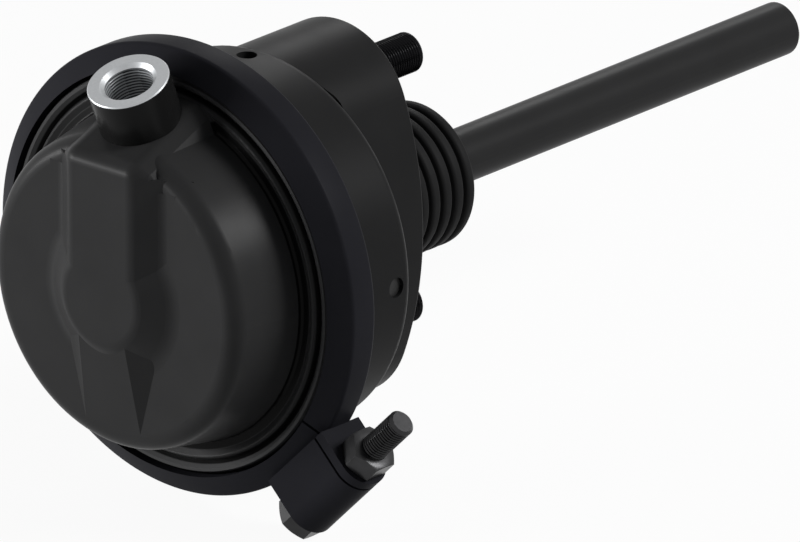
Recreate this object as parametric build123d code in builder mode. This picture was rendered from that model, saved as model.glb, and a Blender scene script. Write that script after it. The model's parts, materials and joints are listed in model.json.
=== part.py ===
from build123d import *
import math
import os

# Air brake chamber, service size 9.  Millimetres, +Z up.  The origin is the centre of the mounting
# face; the push rod leaves towards +Y and the pressure cover closes the -Y end.

# Push rod and stroke
stroke = 44.5
rod_r = 8.0
rod_slide_r = 7.75
rod_reach = 193.5
rod_end_chamfer = 1.0
rod_spigot_r = 6.0
weld_collar_r = 13.0
weld_collar_length = 5.0

# Mounting face, studs and bracket
stud_spacing = 76.2
stud_r = 6.0
stud_neck_r = 6.5
stud_reach = 30.0
stud_end_chamfer = 1.0
stud_head_flats = 18.0
stud_head_height = 7.0
stud_plate_thickness = 3.0
bracket_half_width = 32.0
bracket_end_r = 26.5
bracket_plate = 5.0
bracket_wall = 4.0
bracket_edge_r = 1.0
bracket_depth = 33.0
foot_height = 7.5
foot_rise = 8.5
foot_corner_r = 6.0

# Spring housing
housing_r = 56.5
housing_wall = 3.0
housing_back_r = 3.0
housing_flare_half = 8.0
vent_r = 3.0
vent_y = -40.0
vent_plug_head = 0.8
vent_plug_recess = 1.2
guide_wall = 3.0
guide_flange_r = 16.0
guide_flange = 2.0
guide_reach = 3.0

# Clamp ring: a V channel around the two flanges; steps are radial
clamp_y = -65.5
clamp_lip_step = 3.7
clamp_height = 6.7
clamp_band_half = 4.5
clamp_lip_half = 8.5
clamp_wall = 2.8
clamp_edge_r = 1.5
flange_height = 3.6

# Clamp lug and bolt; "along" runs along the bolt from the lug's middle plane
lug_angle = -45.0
bolt_step = 9.6
bolt_r = 4.0
bolt_length = 50.0
bolt_flats = 13.0
bolt_head_height = 5.5
bolt_end_chamfer = 0.8
nut_height = 6.5
lug_half_width = 8.0
lug_near_along = -11.5
lug_far_along = 13.0
lug_root_step = 2.3
ear_thickness = 3.0
split_gap = 0.8

# Pressure cover; steps are radial, from the housing's radius
cover_y = -97.3
cover_draft_step = 3.9
cover_root_step = 6.6
cover_root_y = -72.9
cover_wall = 3.0
cover_corner_r = 5.4
bead_step = 2.1
bead_y = -73.7
bead_width = 1.9
bead_foot_y = -72.6
valley_step = 0.8
valley_y = -71.4
rim_y = -73.0
rim_inner_step = 1.3
rim_outer_step = 2.2
rebate_step = 0.5
rebate_depth = 1.5

# Keyhole air duct on the cover: a ridge with sloping sides, folded back under the inlet boss,
# a disc in the middle and a tail that runs out downwards
duct_height = 5.7
duct_half_width = 11.6
duct_side_angle = 37.0
duct_edge_r = 5.0
duct_foot_r = 4.5
duct_fold_r = 4.8
duct_fold_inset = 6.8
duct_foot_end_inset = 10.5
duct_back_length = 28.0
leg_shoulder = 3.2
leg_side_angle = 62.0
duct_skirt = 11.0
disc_r = 14.0
disc_side_angle = 32.0
disc_foot_r = 8.0
tail_start_z = -8.0
tail_start_half_width = 8.4
tail_end_inset = 4.7
tail_end_half_width = 10.4
tail_side_angle = 29.0
tail_meet_inset = 6.2
tail_root = 4.0

# Inlet boss
boss_tilt = 22.3
boss_set_back = 6.8
boss_stand_off = 6.2
boss_r = 12.05
thread_r = 7.19
thread_mouth_r = 8.4
duct_port_r = 8.0

# Diaphragm, push plate and return spring
diaphragm_thickness = 2.4
diaphragm_rim_half = 1.5
diaphragm_rim_step = 0.4
diaphragm_rim_inner_step = 1.7
diaphragm_corner_r = 4.0
plate_side_gap = 3.3
plate_thickness = 3.0
plate_rim = 2.5
spring_wire_r = 2.0
spring_big_r = 34.0
spring_small_r = 17.5
spring_turns = 4.5
spring_seat_thickness = 1.5
spring_seat_inner_r = 27.0
spring_seat_outer_r = 41.0
spring_seat_lip = 3.0

# Bellows
bellows_r = 21.7
bellows_valley_r = 18.8
bellows_wall = 1.3
bellows_pitch = 5.0
bellows_folds = 7
bellows_crest = 1.4
bellows_rim_r = 22.5
bellows_rim = 2.4
neck_r = 10.5
neck_length = 1.0
retainer_r = 24.5
retainer_thickness = 2.0
face_opening_r = 19.2
face_relief = 0.6

# Clearances
seat_gap = 0.1
soft_gap = 0.3
guide_gap = 0.08
pin_gap = 0.05
bolt_gap = 0.3

# Places worked out from the sizes above
housing_back_y = -bracket_depth
housing_back_inner_y = housing_back_y - housing_wall
bush_r = rod_slide_r + guide_gap + guide_wall
clamp_lip_r = housing_r + clamp_lip_step
clamp_r = clamp_lip_r + clamp_height
flange_r = clamp_lip_r + flange_height
bolt_centre_r = clamp_r + bolt_step
lug_root_r = clamp_r - lug_root_step
cover_root_r = housing_r - cover_root_step
cover_front_r = cover_root_r - cover_draft_step
bead_r = housing_r - bead_step
valley_r = housing_r - valley_step
rim_inner_r = housing_r + rim_inner_step
rim_outer_r = housing_r + rim_outer_step
rim_foot_r = clamp_lip_r - soft_gap
rebate_r = housing_r + rebate_step
diaphragm_rim_r = flange_r - diaphragm_rim_step
diaphragm_rim_inner_r = housing_r + diaphragm_rim_inner_step
half_web = clamp_wall / math.cos(math.atan2(clamp_lip_half - clamp_band_half, clamp_r - clamp_lip_r))
flank_slope = (clamp_lip_half - clamp_band_half) / (clamp_r - clamp_lip_r)
channel_r = clamp_r - clamp_wall
channel_lip_half = clamp_lip_half - half_web
channel_band_half = channel_lip_half - flank_slope * (channel_r - clamp_lip_r)
flange_lip_half = channel_lip_half - seat_gap
flange_edge_half = flange_lip_half - flank_slope * (flange_r - clamp_lip_r)
flange_face_half = diaphragm_rim_half + seat_gap
tail_end_z = tail_end_inset - cover_front_r
tail_meet_z = tail_meet_inset - cover_front_r
duct_fold_z = cover_front_r - duct_fold_inset
duct_foot_end_z = cover_front_r - duct_foot_end_inset
side_slope = math.tan(math.radians(duct_side_angle))
duct_top_y = cover_y - duct_height
fold_axis_y = duct_top_y + duct_fold_r
boss_axis = Vector(0, -math.sin(math.radians(boss_tilt)), math.cos(math.radians(boss_tilt)))
boss_face = Vector(0, cover_y + boss_set_back, housing_r + boss_stand_off)
fold_axis = Vector(0, fold_axis_y, duct_fold_z)
boss_height = (boss_face - fold_axis).dot(boss_axis) - duct_fold_r
cover_inner_y = cover_y + cover_wall
inner_front_r = cover_front_r - cover_wall
inner_root_r = cover_root_r - cover_wall
diaphragm_web_y = cover_root_y + rebate_depth + cover_wall + soft_gap
diaphragm_front_y = cover_inner_y + soft_gap
plate_r = inner_front_r - soft_gap - diaphragm_thickness - plate_side_gap
plate_front_y = diaphragm_front_y + diaphragm_thickness + soft_gap
plate_back_y = plate_front_y + plate_thickness
bellows_end_y = bellows_folds * bellows_pitch + neck_length
rod_shoulder_y = bellows_end_y + soft_gap
spring_seat_y = housing_back_inner_y - seat_gap - spring_seat_thickness
lug_frame = Plane(
    origin=(0, clamp_y, 0),
    x_dir=(math.cos(math.radians(lug_angle)), 0, math.sin(math.radians(lug_angle))),
    z_dir=(-math.sin(math.radians(lug_angle)), 0, math.cos(math.radians(lug_angle))),
)
bolt_head_along = lug_near_along - seat_gap
ear_near_along = lug_far_along + split_gap
nut_along = ear_near_along + ear_thickness + seat_gap
duct_front = Plane(origin=fold_axis, x_dir=(1, 0, 0), z_dir=(0, 0, -1))
duct_back = Plane(
    origin=fold_axis,
    x_dir=(1, 0, 0),
    z_dir=(0, -math.cos(math.radians(boss_tilt)), -math.sin(math.radians(boss_tilt))),
)

os.makedirs("parts", exist_ok=True)


def write(part, name):
    """Label one finished piece and write its STEP file."""
    part.label = name
    export_step(part, f"parts/{name}.step")


def polygon(points):
    """Face on the local XY plane with straight sides through the points."""
    with BuildSketch() as sketch:
        with BuildLine():
            Polyline(*points, close=True)
        make_face()
    return sketch.sketch


def duct_section(inset, depth):
    """Cross-section of the duct ridge with its top duct_fold_r above local Y = 0; inset is the sheet
    thickness left outside it and depth is how far it reaches below the top."""
    top = duct_fold_r - inset
    half_top = duct_half_width - inset * math.tan(math.radians(duct_side_angle / 2))
    half_foot = half_top + (depth - inset) / side_slope
    foot = duct_fold_r - depth
    with BuildSketch() as sketch:
        with BuildLine():
            Polyline((-half_foot, foot), (-half_top, top), (half_top, top), (half_foot, foot), close=True)
        make_face()
        fillet(sketch.vertices().group_by(Axis.Y)[-1], duct_edge_r - inset / 2)
    return sketch.sketch


def leg_section(inset, depth):
    """Cross-section of the fold and of the leg under the boss: the ridge's top and shoulders on
    steeper sides, drawn inside by inset and reaching depth below the top."""
    shoulder = duct_fold_r - leg_shoulder
    half_shoulder = duct_half_width + leg_shoulder / side_slope
    foot = duct_fold_r - depth - inset
    half_foot = half_shoulder + (shoulder - foot) / math.tan(math.radians(leg_side_angle))
    with BuildSketch() as sketch:
        with BuildLine():
            Polyline(
                (-half_foot, foot), (-half_shoulder, shoulder), (-duct_half_width, duct_fold_r),
                (duct_half_width, duct_fold_r), (half_shoulder, shoulder), (half_foot, foot), close=True,
            )
        make_face()
        fillet(sketch.vertices().group_by(Axis.Y)[-1], duct_edge_r)
        if inset:
            offset(amount=-inset, kind=Kind.INTERSECTION, mode=Mode.REPLACE)
    return sketch.sketch


def duct_foot_section():
    """Cross-section of the ridge down to the cover's face, with hollow fillets at its feet."""
    run = duct_height / side_slope
    half_foot = duct_half_width + run
    half_flare = half_foot + duct_foot_r
    face = duct_fold_r - duct_height
    sunk = face - cover_wall / 2
    with BuildSketch() as sketch:
        with BuildLine():
            Polyline(
                (-half_flare, sunk), (-half_flare, face), (-half_foot, face),
                (-duct_half_width, duct_fold_r), (duct_half_width, duct_fold_r),
                (half_foot, face), (half_flare, face), (half_flare, sunk), close=True,
            )
        make_face()
        fillet(sketch.vertices().group_by(Axis.Y)[-1], duct_edge_r)
        feet = sketch.vertices().filter_by_position(Axis.Y, face - seat_gap, face + seat_gap)
        fillet(feet.filter_by_position(Axis.X, -half_foot - seat_gap, half_foot + seat_gap), duct_foot_r)
    return sketch.sketch


def tail_sections(inset):
    """Two sections of the tail ramp, from the disc down to where it meets the cover's face."""
    slope = math.tan(math.radians(tail_side_angle))
    narrowing = inset * math.tan(math.radians(tail_side_angle / 2))
    fall = duct_height * (tail_end_z - tail_start_z) / (tail_meet_z - tail_start_z)
    root = cover_y + tail_root + inset
    ends = []
    for z, half, top in (
        (tail_start_z, tail_start_half_width - narrowing, duct_top_y + inset),
        (tail_end_z, tail_end_half_width - narrowing, duct_top_y + fall + inset),
    ):
        half_root = half + (root - top) / slope
        ends.append((z, half, top, half_root, root))
    return ends


def bracket_outline(inset):
    """Bracket outline: two end arcs joined by tangent side arcs, drawn inside by inset."""
    half_w = bracket_half_width - inset
    end_r = bracket_end_r - inset
    end_z = housing_r - bracket_end_r
    side_r = (half_w**2 + end_z**2 - end_r**2) / (2 * (half_w - end_r))
    share = side_r / (side_r - end_r)
    touch_x = (side_r - half_w) * (share - 1)
    touch_z = end_z * share
    with BuildSketch() as sketch:
        with BuildLine():
            ThreePointArc((touch_x, touch_z), (0, end_z + end_r), (-touch_x, touch_z))
            ThreePointArc((-touch_x, touch_z), (-half_w, 0), (-touch_x, -touch_z))
            ThreePointArc((-touch_x, -touch_z), (0, -end_z - end_r), (touch_x, -touch_z))
            ThreePointArc((touch_x, -touch_z), (half_w, 0), (touch_x, touch_z))
        make_face()
    return sketch.sketch


# Pressure cover: a drafted cup with a rolled bead and a conical clamping flange
with BuildPart() as cover:
    with BuildSketch(Plane.XY) as cup_profile:
        with BuildLine():
            Polyline(
                (0, cover_y), (cover_front_r, cover_y), (cover_root_r, cover_root_y),
                (bead_r - bead_width, bead_foot_y), (bead_r, bead_y), (valley_r, valley_y),
                (rim_inner_r, rim_y), (rim_outer_r, rim_y), (rim_foot_r, clamp_y - flange_lip_half),
                (flange_r, clamp_y - flange_edge_half), (flange_r, clamp_y - flange_face_half),
                (0, clamp_y - flange_face_half), close=True,
            )
        make_face()
        corners = cup_profile.vertices()
        fillet(corners.sort_by_distance((cover_front_r, cover_y))[0], cover_corner_r)
        fillet(cup_profile.vertices().sort_by_distance((cover_root_r, cover_root_y))[0], bead_width / 2)
        fillet(cup_profile.vertices().sort_by_distance((bead_r, bead_y))[0], bead_width / 4)
    revolve(axis=Axis.Y)

    with BuildSketch(duct_front):
        add(duct_section(0, duct_skirt))
    extrude(amount=duct_fold_z)
    with BuildSketch(duct_front.offset(duct_fold_z - duct_foot_end_z)):
        add(duct_foot_section())
    extrude(amount=duct_foot_end_z)
    with BuildSketch(duct_front):
        add(leg_section(0, duct_fold_r))
    revolve(axis=Axis(fold_axis, (-1, 0, 0)), revolution_arc=90 - boss_tilt)
    with BuildSketch(duct_back):
        add(leg_section(0, duct_skirt))
    extrude(amount=-duct_back_length)

    with BuildSketch(Plane.XY) as disc_profile:
        disc_foot = disc_r + duct_height / math.tan(math.radians(disc_side_angle))
        with BuildLine():
            Polyline(
                (0, duct_top_y), (disc_r, duct_top_y), (disc_foot, cover_y),
                (disc_foot + disc_foot_r, cover_y), (disc_foot + disc_foot_r, cover_y + cover_wall / 2),
                (0, cover_y + cover_wall / 2), close=True,
            )
        make_face()
        fillet(disc_profile.vertices().sort_by_distance((disc_r, duct_top_y))[0], duct_edge_r)
        fillet(disc_profile.vertices().sort_by_distance((disc_foot, cover_y))[0], disc_foot_r)
    revolve(axis=Axis.Y)

    for z, half, top, half_root, root in tail_sections(0):
        with BuildSketch(Plane.XY.offset(z)):
            add(polygon([(-half_root, root), (-half, top), (half, top), (half_root, root)]))
    loft()
    cover_outside = cover.part

    with BuildSketch(Plane.XY) as cavity_profile:
        with BuildLine():
            Polyline(
                (0, cover_inner_y), (inner_front_r, cover_inner_y),
                (inner_root_r, cover_root_y), (inner_root_r, diaphragm_web_y - soft_gap),
                (rebate_r, diaphragm_web_y - soft_gap), (rebate_r + rebate_depth, clamp_y - flange_face_half),
                (rebate_r + rebate_depth, clamp_y), (0, clamp_y), close=True,
            )
        make_face()
        fillet(cavity_profile.vertices().sort_by_distance((inner_front_r, cover_inner_y))[0],
               cover_corner_r - cover_wall / 2)
    revolve(axis=Axis.Y, mode=Mode.SUBTRACT)
    with BuildSketch(duct_front):
        add(duct_section(cover_wall, duct_skirt))
    extrude(amount=duct_fold_z, mode=Mode.SUBTRACT)
    with BuildSketch(duct_front):
        add(leg_section(cover_wall, duct_fold_r))
    revolve(axis=Axis(fold_axis, (-1, 0, 0)), revolution_arc=90 - boss_tilt, mode=Mode.SUBTRACT)
    with BuildSketch(duct_back):
        add(leg_section(cover_wall, duct_skirt))
    extrude(amount=-(duct_back_length - cover_wall), mode=Mode.SUBTRACT)
    with BuildSketch(Plane.XY):
        disc_inner_r = disc_r - cover_wall * math.tan(math.radians(disc_side_angle / 2))
        disc_run = duct_height / math.tan(math.radians(disc_side_angle))
        add(polygon([
            (0, duct_top_y + cover_wall), (disc_inner_r, duct_top_y + cover_wall),
            (disc_inner_r + disc_run, cover_inner_y), (disc_inner_r + disc_run, cover_inner_y + cover_wall),
            (0, cover_inner_y + cover_wall),
        ]))
    revolve(axis=Axis.Y, mode=Mode.SUBTRACT)
    for z, half, top, half_root, root in tail_sections(cover_wall):
        with BuildSketch(Plane.XY.offset(z)):
            add(polygon([(-half_root, root), (-half, top), (half, top), (half_root, root)]))
    loft(mode=Mode.SUBTRACT)
    with BuildSketch(Plane(origin=boss_face, x_dir=(1, 0, 0), z_dir=boss_axis)):
        Circle(duct_port_r)
    extrude(amount=-(boss_height + 2 * cover_wall), mode=Mode.SUBTRACT)
write(cover.part, "pressure_cover")

# Inlet boss: a threaded socket seated on the back leg of the duct
with BuildPart() as boss:
    with BuildSketch(Plane(origin=boss_face, x_dir=(1, 0, 0), z_dir=boss_axis)):
        Circle(boss_r)
    extrude(amount=-(boss_height + boss_r))
    add(cover_outside, mode=Mode.SUBTRACT)
    with BuildSketch(Plane(origin=boss_face, x_dir=(1, 0, 0), z_dir=boss_axis)):
        Circle(thread_r)
    extrude(amount=-(boss_height + boss_r), mode=Mode.SUBTRACT)
    mouth = boss.edges().filter_by(GeomType.CIRCLE).group_by(Axis(boss_face, boss_axis))[-1]
    chamfer(mouth.sort_by(SortBy.RADIUS)[0], thread_mouth_r - thread_r)
write(boss.part, "inlet_boss")

# Diaphragm: a rubber cup lying against the cover, its thick rim clamped between the flanges
with BuildPart() as diaphragm:
    with BuildSketch(Plane.XY) as diaphragm_profile:
        wall_r = inner_root_r - soft_gap
        front_r = inner_front_r - soft_gap
        web_back_y = diaphragm_web_y + diaphragm_thickness
        with BuildLine():
            Polyline(
                (0, diaphragm_front_y), (front_r, diaphragm_front_y), (wall_r, cover_root_y),
                (wall_r, diaphragm_web_y),
                (rebate_r - soft_gap, diaphragm_web_y),
                (rebate_r + rebate_depth - soft_gap, clamp_y - diaphragm_rim_half),
                (diaphragm_rim_r, clamp_y - diaphragm_rim_half),
                (diaphragm_rim_r, clamp_y + diaphragm_rim_half),
                (diaphragm_rim_inner_r, clamp_y + diaphragm_rim_half),
                (diaphragm_rim_inner_r - soft_gap, web_back_y),
                (wall_r - diaphragm_thickness, web_back_y), (wall_r - diaphragm_thickness, cover_root_y),
                (front_r - diaphragm_thickness, diaphragm_front_y + diaphragm_thickness),
                (0, diaphragm_front_y + diaphragm_thickness), close=True,
            )
        make_face()
        fillet(diaphragm_profile.vertices().sort_by_distance((front_r, diaphragm_front_y))[0],
               cover_corner_r)
        fillet(diaphragm_profile.vertices().sort_by_distance((wall_r - diaphragm_thickness, web_back_y))[0],
               diaphragm_corner_r)
    revolve(axis=Axis.Y)
write(diaphragm.part, "diaphragm")

# Clamp ring: a V channel, split once beside the lug
with BuildPart() as ring:
    with BuildSketch(Plane.XY) as ring_profile:
        with BuildLine():
            Polyline(
                (clamp_lip_r, clamp_y - clamp_lip_half), (clamp_r, clamp_y - clamp_band_half),
                (clamp_r, clamp_y + clamp_band_half), (clamp_lip_r, clamp_y + clamp_lip_half),
                (clamp_lip_r, clamp_y + channel_lip_half), (channel_r, clamp_y + channel_band_half),
                (channel_r, clamp_y - channel_band_half), (clamp_lip_r, clamp_y - channel_lip_half),
                close=True,
            )
        make_face()
        fillet(ring_profile.vertices().filter_by_position(Axis.X, clamp_r - pin_gap, clamp_r + pin_gap),
               clamp_edge_r)
    revolve(axis=Axis.Y)
    ring_whole = ring.part
    with BuildSketch(lug_frame.offset(lug_far_along)):
        with Locations((clamp_r, 0)):
            Rectangle(2 * (clamp_r - clamp_lip_r) + 2 * bolt_r, 4 * clamp_lip_half)
    extrude(amount=split_gap, mode=Mode.SUBTRACT)
write(ring.part, "clamp_ring")


def lug_outline():
    """Outline across the bolt of the lug and the ear: flat sides and a round end about the bolt."""
    half_length = (bolt_centre_r - lug_root_r) / 2
    with BuildSketch() as sketch:
        with Locations((bolt_centre_r - half_length, 0)):
            Rectangle(2 * half_length, 2 * lug_half_width)
        with Locations((bolt_centre_r, 0)):
            Circle(lug_half_width)
            Circle(bolt_r + bolt_gap, mode=Mode.SUBTRACT)
    return sketch.sketch


# Lug on the ring's head end, ear on its nut end, and the bolt and nut that close the ring
with BuildPart() as lug:
    with BuildSketch(lug_frame.offset(lug_near_along)):
        add(lug_outline())
    extrude(amount=lug_far_along - lug_near_along)
    add(ring_whole, mode=Mode.SUBTRACT)
write(lug.part, "clamp_lug")

with BuildPart() as ear:
    with BuildSketch(lug_frame.offset(ear_near_along)):
        add(lug_outline())
    extrude(amount=ear_thickness)
    add(ring_whole, mode=Mode.SUBTRACT)
write(ear.part, "clamp_ear")

with BuildPart() as bolt:
    with BuildSketch(lug_frame.offset(bolt_head_along - bolt_head_height)):
        with Locations((bolt_centre_r, 0)):
            RegularPolygon(bolt_flats / 2, 6, major_radius=False)
    extrude(amount=bolt_head_height)
    with BuildSketch(lug_frame.offset(bolt_head_along)):
        with Locations((bolt_centre_r, 0)):
            Circle(bolt_r)
    extrude(amount=bolt_length)
    chamfer(bolt.edges().filter_by(GeomType.CIRCLE).sort_by(Axis((0, 0, 0), lug_frame.z_dir))[-1],
            bolt_end_chamfer)
write(bolt.part, "clamp_bolt")

with BuildPart() as nut:
    with BuildSketch(lug_frame.offset(nut_along)):
        with Locations((bolt_centre_r, 0)):
            RegularPolygon(bolt_flats / 2, 6, major_radius=False)
            Circle(bolt_r + pin_gap, mode=Mode.SUBTRACT)
    extrude(amount=nut_height)
write(nut.part, "clamp_nut")

# Spring housing: a drawn cup with a conical flange, a rod opening and four vent holes
with BuildPart() as housing:
    with BuildSketch(Plane.XY) as housing_profile:
        with BuildLine():
            Polyline(
                (0, housing_back_y), (housing_r, housing_back_y), (housing_r, clamp_y + clamp_lip_half),
                (clamp_lip_r, clamp_y + flange_lip_half), (flange_r, clamp_y + flange_edge_half),
                (flange_r, clamp_y + flange_face_half), (diaphragm_rim_inner_r, clamp_y + flange_face_half),
                (housing_r - housing_wall, clamp_y + housing_flare_half),
                (housing_r - housing_wall, housing_back_inner_y), (0, housing_back_inner_y), close=True,
            )
        make_face()
        fillet(housing_profile.vertices().sort_by_distance((housing_r, housing_back_y))[0], housing_back_r)
        fillet(housing_profile.vertices().sort_by_distance((housing_r, clamp_y + clamp_lip_half))[0],
               housing_back_r)
    revolve(axis=Axis.Y)
    with BuildSketch(Plane.XZ.offset(-housing_back_y)):
        Circle(bush_r + pin_gap)
    extrude(amount=housing_wall, mode=Mode.SUBTRACT)
    with Locations(Plane(origin=(0, vent_y, 0), x_dir=(0, 1, 0), z_dir=(0, 0, 1))):
        Hole(vent_r)
    with Locations(Plane(origin=(0, vent_y, 0), x_dir=(0, 1, 0), z_dir=(1, 0, 0))):
        Hole(vent_r)
write(housing.part, "spring_housing")

# Plugs in the two side vents; the upper and lower vents stay open
for side, name in ((1, "vent_plug_right"), (-1, "vent_plug_left")):
    with BuildPart() as plug:
        inner_x = side * (housing_r - housing_wall - bolt_gap)
        with BuildSketch(Plane(origin=(inner_x, vent_y, 0), x_dir=(0, 1, 0), z_dir=(side, 0, 0))):
            Circle(vent_r - seat_gap)
        extrude(amount=housing_wall + bolt_gap - vent_plug_recess)
        with BuildSketch(Plane(origin=(inner_x, vent_y, 0), x_dir=(0, 1, 0), z_dir=(-side, 0, 0))):
            Circle(vent_r + vent_plug_head)
        extrude(amount=vent_plug_head)
    write(plug.part, name)

# Rod guide: a flanged bush in the housing's back wall
with BuildPart() as guide:
    flange_back_y = housing_back_inner_y - seat_gap
    with BuildSketch(Plane.XY):
        add(polygon([
            (bush_r - guide_wall, flange_back_y - guide_flange), (guide_flange_r, flange_back_y - guide_flange),
            (guide_flange_r, flange_back_y), (bush_r, flange_back_y),
            (bush_r, housing_back_y + guide_reach), (bush_r - guide_wall, housing_back_y + guide_reach),
        ]))
    revolve(axis=Axis.Y)
write(guide.part, "rod_guide")

# Mounting bracket: a deep pressed shell welded to the housing by its upper and lower feet
with BuildPart() as bracket:
    with BuildSketch(Plane.XZ):
        add(bracket_outline(0))
    extrude(amount=bracket_depth + housing_back_r)
    fillet(bracket.faces().sort_by(Axis.Y)[-1].edges(), bracket_edge_r)
    with BuildSketch(Plane.XZ.offset(bracket_plate)):
        add(bracket_outline(bracket_wall))
    extrude(amount=bracket_depth, mode=Mode.SUBTRACT)
    with BuildSketch(Plane.YZ) as side_window:
        foot_z = housing_r - foot_height / 2
        arch_z = foot_z - foot_rise
        arch_y = housing_back_y + foot_height
        open_y = housing_back_y - 2 * housing_back_r
        add(polygon([
            (open_y, -foot_z), (housing_back_y, -foot_z), (arch_y, -arch_z),
            (arch_y, arch_z), (housing_back_y, foot_z), (open_y, foot_z),
        ]))
        fillet(side_window.vertices().group_by(Axis.X)[-1], foot_corner_r)
    extrude(amount=2 * bracket_half_width, both=True, mode=Mode.SUBTRACT)
    add(housing.part, mode=Mode.SUBTRACT)
    with BuildSketch(Plane.XZ):
        Circle(face_opening_r)
        with GridLocations(1, stud_spacing, 1, 2):
            Circle(stud_neck_r + pin_gap)
    extrude(amount=bracket_plate, mode=Mode.SUBTRACT)
    with BuildSketch(Plane.XZ):
        Circle(bellows_r + soft_gap)
    extrude(amount=face_relief, mode=Mode.SUBTRACT)
write(bracket.part, "mounting_bracket")

# Plate behind the mounting face that spreads the load of the stud heads
with BuildPart() as stud_plate:
    with BuildSketch(Plane.XZ.offset(bracket_plate + seat_gap)):
        add(bracket_outline(bracket_wall + bolt_gap))
        Circle(retainer_r + bolt_gap, mode=Mode.SUBTRACT)
        with GridLocations(1, stud_spacing, 1, 2):
            Circle(stud_neck_r + pin_gap, mode=Mode.SUBTRACT)
    extrude(amount=stud_plate_thickness)
write(stud_plate.part, "stud_plate")

# Studs: square heads inside the bracket, pressed necks through its plate, shanks out of the face
for side, name in ((1, "stud_upper"), (-1, "stud_lower")):
    with BuildPart() as stud:
        head_face = bracket_plate + stud_plate_thickness + 2 * seat_gap
        with BuildSketch(Plane.XZ.offset(head_face)):
            with Locations((0, side * stud_spacing / 2)):
                Rectangle(stud_head_flats, stud_head_flats)
        extrude(amount=stud_head_height)
        with BuildSketch(Plane.XZ.offset(head_face)):
            with Locations((0, side * stud_spacing / 2)):
                Circle(stud_neck_r)
        extrude(amount=-head_face)
        with BuildSketch(Plane.XZ):
            with Locations((0, side * stud_spacing / 2)):
                Circle(stud_r)
        extrude(amount=-stud_reach)
        chamfer(stud.edges().filter_by(GeomType.CIRCLE).sort_by(Axis.Y)[-1], stud_end_chamfer)
    write(stud.part, name)

# Bellows: rounded folds from a rim behind the mounting face to a neck on the rod
with BuildPart() as bellows:
    with BuildSketch(Plane.XY):
        throat_r = face_opening_r - soft_gap
        rim_back_y = -bracket_plate - soft_gap - bellows_rim
        outside = [
            (bellows_rim_r, rim_back_y), (bellows_rim_r, rim_back_y + bellows_rim),
            (throat_r, rim_back_y + bellows_rim), (throat_r, 0),
        ]
        for fold in range(bellows_folds):
            middle = (fold + 0.5) * bellows_pitch
            outside += [(bellows_r, middle - bellows_crest / 2), (bellows_r, middle + bellows_crest / 2)]
            outside += [(bellows_valley_r, (fold + 1) * bellows_pitch)]
        outside[-1] = (neck_r, bellows_end_y - neck_length)
        outside += [(neck_r, bellows_end_y), (rod_slide_r + soft_gap, bellows_end_y)]
        outside += [(rod_slide_r + soft_gap, bellows_end_y - neck_length - bellows_wall)]
        outside += [(neck_r, bellows_end_y - neck_length - bellows_wall)]
        inside = [(r - bellows_wall, y) for r, y in reversed(outside[3:-5])]
        inside += [(throat_r - bellows_wall, rim_back_y)]
        add(polygon(outside + inside))
    revolve(axis=Axis.Y)
write(bellows.part, "bellows")

# Ring that presses the bellows rim against the bracket
with BuildPart() as retainer:
    with BuildSketch(Plane.XZ.offset(bracket_plate + 2 * soft_gap + bellows_rim)):
        Circle(retainer_r)
        Circle(throat_r - bellows_wall, mode=Mode.SUBTRACT)
    extrude(amount=retainer_thickness)
write(retainer.part, "bellows_retainer")

# Push rod: a free painted stretch, a slightly thinner ground stretch that slides in the guide and a
# spigot for the push plate
with BuildPart() as rod:
    with BuildSketch(Plane.XZ.offset(-rod_shoulder_y)):
        Circle(rod_r)
    extrude(amount=-(rod_reach - rod_shoulder_y))
    rod_ends = rod.edges().filter_by(GeomType.CIRCLE).sort_by(Axis.Y)
    chamfer(rod_ends[0], rod_r - rod_slide_r)
    chamfer(rod_ends[-1], rod_end_chamfer)
    with BuildSketch(Plane.XZ.offset(-plate_back_y)):
        Circle(rod_slide_r)
    extrude(amount=-(rod_shoulder_y - plate_back_y))
    with BuildSketch(Plane.XZ.offset(-plate_back_y)):
        Circle(rod_spigot_r)
    extrude(amount=plate_thickness)
write(rod.part, "push_rod")

with BuildPart() as plate:
    with BuildSketch(Plane.XY):
        add(polygon([
            (rod_spigot_r + pin_gap, plate_front_y), (plate_r - plate_thickness, plate_front_y),
            (plate_r, plate_front_y + plate_thickness), (plate_r, plate_back_y + plate_rim),
            (plate_r - plate_thickness, plate_back_y + plate_rim), (plate_r - plate_thickness, plate_back_y),
            (rod_spigot_r + pin_gap, plate_back_y),
        ]))
    revolve(axis=Axis.Y)
write(plate.part, "push_plate")

with BuildPart() as collar:
    with BuildSketch(Plane.XY):
        add(polygon([
            (rod_slide_r + pin_gap, plate_back_y + seat_gap), (weld_collar_r, plate_back_y + seat_gap),
            (rod_slide_r + pin_gap, plate_back_y + weld_collar_length),
        ]))
    revolve(axis=Axis.Y)
write(collar.part, "rod_collar")

# Return spring: a conical coil that telescopes between its seat and the push plate
with BuildPart() as seat:
    with BuildSketch(Plane.XY):
        add(polygon([
            (spring_seat_inner_r, spring_seat_y),
            (spring_seat_outer_r - spring_seat_thickness, spring_seat_y),
            (spring_seat_outer_r - spring_seat_thickness, spring_seat_y - spring_seat_lip),
            (spring_seat_outer_r, spring_seat_y - spring_seat_lip),
            (spring_seat_outer_r, spring_seat_y + spring_seat_thickness),
            (spring_seat_inner_r, spring_seat_y + spring_seat_thickness),
        ]))
    revolve(axis=Axis.Y)
write(seat.part, "spring_seat")

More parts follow.
